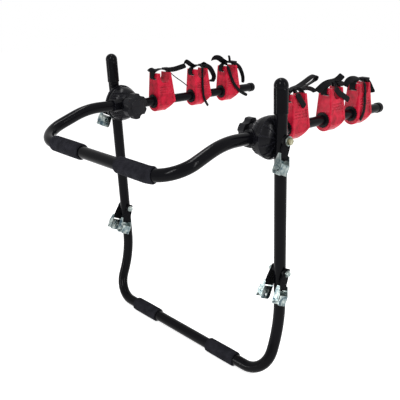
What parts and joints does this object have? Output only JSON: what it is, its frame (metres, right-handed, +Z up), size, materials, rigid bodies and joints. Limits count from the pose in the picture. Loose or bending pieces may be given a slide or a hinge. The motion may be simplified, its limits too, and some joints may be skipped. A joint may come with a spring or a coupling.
{
  "type": "trunk mounted bike rack",
  "caption": "Bicycle rack that straps to a car's trunk: two bent tube frames meet at ribbed hubs, and folding arms carry swivelling cradles with rubber straps.",
  "frame": {"origin": "middle of the hub axis, between the two hub bolts", "axes": "+X along the hub axis to the right-hand hub, +Y away from the car along the carrying arms, +Z up"},
  "size_m": [0.595, 0.714, 0.6646],
  "materials": {
    "frame_paint": "gloss black powder coat",
    "vinyl": "glossy soft vinyl",
    "foam": "matt closed-cell foam",
    "hub_plastic": "satin moulded nylon",
    "knob_plastic": "satin moulded nylon",
    "zinc_steel": "bright zinc plate",
    "bush_plastic": "moulded nylon",
    "cradle_red": "semi-gloss moulded plastic",
    "strap_rubber": "satin rubber",
    "webbing": "woven polypropylene webbing",
    "buckle_steel": "bright zinc plate"
  },
  "bodies": {
    "frame": {"lower_frame": "frame_paint", "leg_caps": "vinyl", "lower_pads": "foam", "hub_discs": "hub_plastic", "hub_bolts": "zinc_steel", "spacers": "bush_plastic", "washers": "zinc_steel", "strap_bolts": "zinc_steel", "strap_nuts": "zinc_steel"},
    "upper": {"upper_frame": "frame_paint", "upper_pads": "foam", "upper_hub_left": "hub_plastic", "upper_hub_right": "hub_plastic"},
    "arm_left": {"arm_left": "frame_paint", "arm_hub_left": "hub_plastic", "arm_cap_left": "vinyl"},
    "knob_left": {"knob_left": "knob_plastic", "knob_nut_left": "zinc_steel"},
    "cradle_left_1": {"cradle_left_1": "cradle_red", "bush_left_1": "bush_plastic", "strap_left_1": "strap_rubber"},
    "cradle_left_2": {"cradle_left_2": "cradle_red", "bush_left_2": "bush_plastic", "strap_left_2": "strap_rubber"},
    "cradle_left_3": {"cradle_left_3": "cradle_red", "bush_left_3": "bush_plastic", "strap_left_3": "strap_rubber"},
    "tab_upper_left": {"webbing_upper_left": "webbing", "buckle_upper_left": "buckle_steel"},
    "lever_upper_left": {"cam_lever_upper_left": "buckle_steel"},
    "tab_outer_left": {"webbing_outer_left": "webbing", "buckle_outer_left": "buckle_steel"},
    "lever_outer_left": {"cam_lever_outer_left": "buckle_steel"},
    "tab_inner_left": {"webbing_inner_left": "webbing", "buckle_inner_left": "buckle_steel"},
    "lever_inner_left": {"cam_lever_inner_left": "buckle_steel"},
    "arm_right": {"arm_right": "frame_paint", "arm_hub_right": "hub_plastic", "arm_cap_right": "vinyl"},
    "knob_right": {"knob_right": "knob_plastic", "knob_nut_right": "zinc_steel"},
    "cradle_right_1": {"cradle_right_1": "cradle_red", "bush_right_1": "bush_plastic", "strap_right_1": "strap_rubber"},
    "cradle_right_2": {"cradle_right_2": "cradle_red", "bush_right_2": "bush_plastic", "strap_right_2": "strap_rubber"},
    "cradle_right_3": {"cradle_right_3": "cradle_red", "bush_right_3": "bush_plastic", "strap_right_3": "strap_rubber"},
    "tab_upper_right": {"webbing_upper_right": "webbing", "buckle_upper_right": "buckle_steel"},
    "lever_upper_right": {"cam_lever_upper_right": "buckle_steel"},
    "tab_outer_right": {"webbing_outer_right": "webbing", "buckle_outer_right": "buckle_steel"},
    "lever_outer_right": {"cam_lever_outer_right": "buckle_steel"},
    "tab_inner_right": {"webbing_inner_right": "webbing", "buckle_inner_right": "buckle_steel"},
    "lever_inner_right": {"cam_lever_inner_right": "buckle_steel"}
  },
  "joints": [
    {"name": "upper_fold", "type": "hinge", "parent": "frame", "child": "upper", "pos_m": [0, 0, 0], "axis": [1, 0, 0], "range_deg": [-90, 30]},
    {"name": "arm_fold_left", "type": "hinge", "parent": "frame", "child": "arm_left", "pos_m": [-0.2015, 0, 0], "axis": [1, 0, 0], "range_deg": [-80, 25]},
    {"name": "knob_turn_left", "type": "hinge", "parent": "frame", "child": "knob_left", "pos_m": [-0.186, 0, 0], "axis": [1, 0, 0], "continuous": true},
    {"name": "cradle_swivel_left_1", "type": "hinge", "parent": "arm_left", "child": "cradle_left_1", "pos_m": [-0.209, 0.10498, -0.00183], "axis": [0, 0.9998, -0.0175], "range_deg": [-30, 30]},
    {"name": "cradle_swivel_left_2", "type": "hinge", "parent": "arm_left", "child": "cradle_left_2", "pos_m": [-0.209, 0.23396, -0.00408], "axis": [0, 0.9998, -0.0175], "range_deg": [-30, 30]},
    {"name": "cradle_swivel_left_3", "type": "hinge", "parent": "arm_left", "child": "cradle_left_3", "pos_m": [-0.209, 0.34795, -0.00607], "axis": [0, 0.9998, -0.0175], "range_deg": [-30, 30]},
    {"name": "tab_swing_upper_left", "type": "hinge", "parent": "frame", "child": "tab_upper_left", "pos_m": [-0.28285, 0, 0], "axis": [1, 0, 0], "range_deg": [-40, 30]},
    {"name": "cam_upper_left", "type": "hinge", "parent": "tab_upper_left", "child": "lever_upper_left", "pos_m": [-0.28835, -0.02155, -0.04622], "axis": [0, 0.9063, -0.4226], "range_deg": [0, 55], "stiffness_Nm_per_rad": 0.1, "springref_deg": -17.19},
    {"name": "tab_swing_outer_left", "type": "hinge", "parent": "frame", "child": "tab_outer_left", "pos_m": [-0.28285, 0.01646, -0.28553], "axis": [1, 0, 0], "range_deg": [-40, 30]},
    {"name": "cam_outer_left", "type": "hinge", "parent": "tab_outer_left", "child": "lever_outer_left", "pos_m": [-0.28835, -0.00509, -0.33175], "axis": [0, 0.9063, -0.4226], "range_deg": [0, 55], "stiffness_Nm_per_rad": 0.1, "springref_deg": -17.19},
    {"name": "tab_swing_inner_left", "type": "hinge", "parent": "frame", "child": "tab_inner_left", "pos_m": [-0.24815, 0.01646, -0.28553], "axis": [1, 0, 0], "range_deg": [-40, 30]},
    {"name": "cam_inner_left", "type": "hinge", "parent": "tab_inner_left", "child": "lever_inner_left", "pos_m": [-0.24265, -0.00509, -0.33175], "axis": [0, -0.9063, 0.4226], "range_deg": [0, 55], "stiffness_Nm_per_rad": 0.1, "springref_deg": -17.19},
    {"name": "arm_fold_right", "type": "hinge", "parent": "frame", "child": "arm_right", "pos_m": [0.2015, 0, 0], "axis": [1, 0, 0], "range_deg": [-80, 25]},
    {"name": "knob_turn_right", "type": "hinge", "parent": "frame", "child": "knob_right", "pos_m": [0.186, 0, 0], "axis": [1, 0, 0], "continuous": true},
    {"name": "cradle_swivel_right_1", "type": "hinge", "parent": "arm_right", "child": "cradle_right_1", "pos_m": [0.209, 0.11198, -0.00195], "axis": [0, 0.9998, -0.0175], "range_deg": [-30, 30]},
    {"name": "cradle_swivel_right_2", "type": "hinge", "parent": "arm_right", "child": "cradle_right_2", "pos_m": [0.209, 0.24296, -0.00424], "axis": [0, 0.9998, -0.0175], "range_deg": [-30, 30]},
    {"name": "cradle_swivel_right_3", "type": "hinge", "parent": "arm_right", "child": "cradle_right_3", "pos_m": [0.209, 0.35295, -0.00616], "axis": [0, 0.9998, -0.0175], "range_deg": [-30, 30]},
    {"name": "tab_swing_upper_right", "type": "hinge", "parent": "frame", "child": "tab_upper_right", "pos_m": [0.28285, 0, 0], "axis": [1, 0, 0], "range_deg": [-40, 30]},
    {"name": "cam_upper_right", "type": "hinge", "parent": "tab_upper_right", "child": "lever_upper_right", "pos_m": [0.28835, -0.02155, -0.04622], "axis": [0, -0.9063, 0.4226], "range_deg": [0, 55], "stiffness_Nm_per_rad": 0.1, "springref_deg": -17.19},
    {"name": "tab_swing_outer_right", "type": "hinge", "parent": "frame", "child": "tab_outer_right", "pos_m": [0.28285, 0.01646, -0.28553], "axis": [1, 0, 0], "range_deg": [-40, 30]},
    {"name": "cam_outer_right", "type": "hinge", "parent": "tab_outer_right", "child": "lever_outer_right", "pos_m": [0.28835, -0.00509, -0.33175], "axis": [0, -0.9063, 0.4226], "range_deg": [0, 55], "stiffness_Nm_per_rad": 0.1, "springref_deg": -17.19},
    {"name": "tab_swing_inner_right", "type": "hinge", "parent": "frame", "child": "tab_inner_right", "pos_m": [0.24815, 0.01646, -0.28553], "axis": [1, 0, 0], "range_deg": [-40, 30]},
    {"name": "cam_inner_right", "type": "hinge", "parent": "tab_inner_right", "child": "lever_inner_right", "pos_m": [0.24265, -0.00509, -0.33175], "axis": [0, 0.9063, -0.4226], "range_deg": [0, 55], "stiffness_Nm_per_rad": 0.1, "springref_deg": -17.19}
  ]
}
